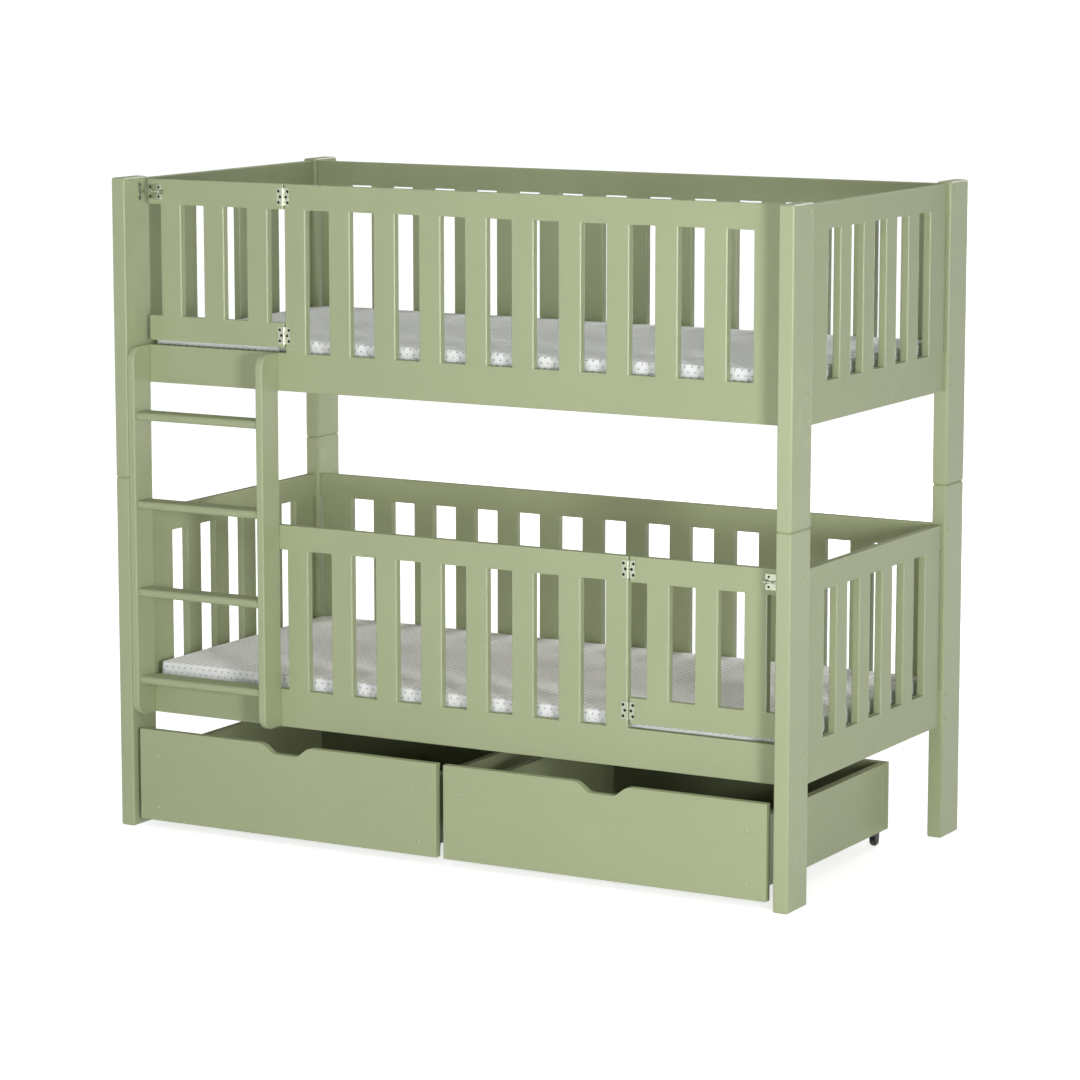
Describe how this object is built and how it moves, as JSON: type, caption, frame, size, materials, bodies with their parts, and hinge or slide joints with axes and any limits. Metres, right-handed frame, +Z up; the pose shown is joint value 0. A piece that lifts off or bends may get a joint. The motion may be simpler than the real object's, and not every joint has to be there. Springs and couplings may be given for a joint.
{
  "type": "bunk bed",
  "caption": "Child's bunk bed on divided posts, with slatted guards, a swinging gate in each guard, a fixed ladder, mattresses and roll-out drawers.",
  "frame": {"origin": "on the floor, in the middle of the footprint of the four posts", "axes": "+X along the bed to the right, +Y from the front with the ladder to the back, +Z up"},
  "size_m": [1.68, 0.882, 1.469],
  "materials": {
    "painted_wood": "satin sage green paint",
    "hinge_metal": "plated, bright",
    "caster_plastic": "matt black",
    "bare_wood": "planed, unpainted",
    "mattress_cloth": "white knitted cover"
  },
  "bodies": {
    "bed_frame": {"lower_post_front_left": "painted_wood", "lower_post_front_right": "painted_wood", "lower_post_back_left": "painted_wood", "lower_post_back_right": "painted_wood", "upper_post_front_left": "painted_wood", "upper_post_front_right": "painted_wood", "upper_post_back_left": "painted_wood", "upper_post_back_right": "painted_wood", "lower_end_panel_left": "painted_wood", "lower_end_panel_right": "painted_wood", "lower_back_panel": "painted_wood", "lower_front_panel": "painted_wood", "lower_gate_hinge_top_fixed_leaf": "hinge_metal", "lower_gate_hinge_bottom_fixed_leaf": "hinge_metal", "upper_end_panel_left": "painted_wood", "upper_end_panel_right": "painted_wood", "upper_back_panel": "painted_wood", "upper_front_panel": "painted_wood", "upper_gate_hinge_top_fixed_leaf": "hinge_metal", "upper_gate_hinge_bottom_fixed_leaf": "hinge_metal", "ladder_stringer_left": "painted_wood", "ladder_stringer_right": "painted_wood", "ladder_rung_1": "painted_wood", "ladder_rung_2": "painted_wood", "ladder_rung_3": "painted_wood", "ladder_rung_4": "painted_wood", "lower_slatted_base": "bare_wood", "lower_mattress": "mattress_cloth", "upper_slatted_base": "bare_wood", "upper_mattress": "mattress_cloth"},
    "upper_gate_leaf": {"upper_gate": "painted_wood", "upper_gate_hinge_top_moving_leaf": "hinge_metal", "upper_gate_hinge_bottom_moving_leaf": "hinge_metal", "upper_latch_plate": "hinge_metal"},
    "upper_latch_bolt": {"upper_latch_rod": "hinge_metal"},
    "lower_gate_leaf": {"lower_gate": "painted_wood", "lower_gate_hinge_top_moving_leaf": "hinge_metal", "lower_gate_hinge_bottom_moving_leaf": "hinge_metal", "lower_latch_plate": "hinge_metal"},
    "lower_latch_bolt": {"lower_latch_rod": "hinge_metal"},
    "left_drawer": {"left_drawer_front": "painted_wood", "left_drawer_box": "painted_wood", "left_drawer_front_left_caster_fork": "caster_plastic", "left_drawer_front_right_caster_fork": "caster_plastic", "left_drawer_back_left_caster_fork": "caster_plastic", "left_drawer_back_right_caster_fork": "caster_plastic"},
    "right_drawer": {"right_drawer_front": "painted_wood", "right_drawer_box": "painted_wood", "right_drawer_front_left_caster_fork": "caster_plastic", "right_drawer_front_right_caster_fork": "caster_plastic", "right_drawer_back_left_caster_fork": "caster_plastic", "right_drawer_back_right_caster_fork": "caster_plastic"},
    "left_drawer_front_left_wheel": {"left_drawer_front_left_caster_wheel": "caster_plastic"},
    "left_drawer_front_right_wheel": {"left_drawer_front_right_caster_wheel": "caster_plastic"},
    "left_drawer_back_left_wheel": {"left_drawer_back_left_caster_wheel": "caster_plastic"},
    "left_drawer_back_right_wheel": {"left_drawer_back_right_caster_wheel": "caster_plastic"},
    "right_drawer_front_left_wheel": {"right_drawer_front_left_caster_wheel": "caster_plastic"},
    "right_drawer_front_right_wheel": {"right_drawer_front_right_caster_wheel": "caster_plastic"},
    "right_drawer_back_left_wheel": {"right_drawer_back_left_caster_wheel": "caster_plastic"},
    "right_drawer_back_right_wheel": {"right_drawer_back_right_caster_wheel": "caster_plastic"}
  },
  "joints": [
    {"name": "upper_gate_swing", "type": "hinge", "parent": "bed_frame", "child": "upper_gate_leaf", "pos_m": [-0.42901, -0.377, 1.4365], "axis": [0, 0, 1], "range_deg": [0, 170]},
    {"name": "upper_latch_slide", "type": "slide", "parent": "upper_gate_leaf", "child": "upper_latch_bolt", "axis": [-1, 0, 0], "range_m": [-0.012, 0.012]},
    {"name": "lower_gate_swing", "type": "hinge", "parent": "bed_frame", "child": "lower_gate_leaf", "pos_m": [0.42901, -0.377, 0.683], "axis": [0, 0, -1], "range_deg": [0, 170]},
    {"name": "lower_latch_slide", "type": "slide", "parent": "lower_gate_leaf", "child": "lower_latch_bolt", "axis": [1, 0, 0], "range_m": [-0.012, 0.012]},
    {"name": "left_drawer_slide", "type": "slide", "parent": "bed_frame", "child": "left_drawer", "axis": [0, -1, 0], "range_m": [0, 0.7]},
    {"name": "right_drawer_slide", "type": "slide", "parent": "bed_frame", "child": "right_drawer", "axis": [0, -1, 0], "range_m": [0, 0.7]},
    {"name": "left_drawer_front_left_wheel_roll", "type": "hinge", "parent": "left_drawer", "child": "left_drawer_front_left_wheel", "pos_m": [-0.747, -0.357, 0.01], "axis": [1, 0, 0], "continuous": true},
    {"name": "left_drawer_front_right_wheel_roll", "type": "hinge", "parent": "left_drawer", "child": "left_drawer_front_right_wheel", "pos_m": [-0.0595, -0.357, 0.01], "axis": [1, 0, 0], "continuous": true},
    {"name": "left_drawer_back_left_wheel_roll", "type": "hinge", "parent": "left_drawer", "child": "left_drawer_back_left_wheel", "pos_m": [-0.747, 0.21, 0.01], "axis": [1, 0, 0], "continuous": true},
    {"name": "left_drawer_back_right_wheel_roll", "type": "hinge", "parent": "left_drawer", "child": "left_drawer_back_right_wheel", "pos_m": [-0.0595, 0.21, 0.01], "axis": [1, 0, 0], "continuous": true},
    {"name": "right_drawer_front_left_wheel_roll", "type": "hinge", "parent": "right_drawer", "child": "right_drawer_front_left_wheel", "pos_m": [0.051, -0.357, 0.01], "axis": [1, 0, 0], "continuous": true},
    {"name": "right_drawer_front_right_wheel_roll", "type": "hinge", "parent": "right_drawer", "child": "right_drawer_front_right_wheel", "pos_m": [0.7385, -0.357, 0.01], "axis": [1, 0, 0], "continuous": true},
    {"name": "right_drawer_back_left_wheel_roll", "type": "hinge", "parent": "right_drawer", "child": "right_drawer_back_left_wheel", "pos_m": [0.051, 0.21, 0.01], "axis": [1, 0, 0], "continuous": true},
    {"name": "right_drawer_back_right_wheel_roll", "type": "hinge", "parent": "right_drawer", "child": "right_drawer_back_right_wheel", "pos_m": [0.7385, 0.21, 0.01], "axis": [1, 0, 0], "continuous": true}
  ]
}
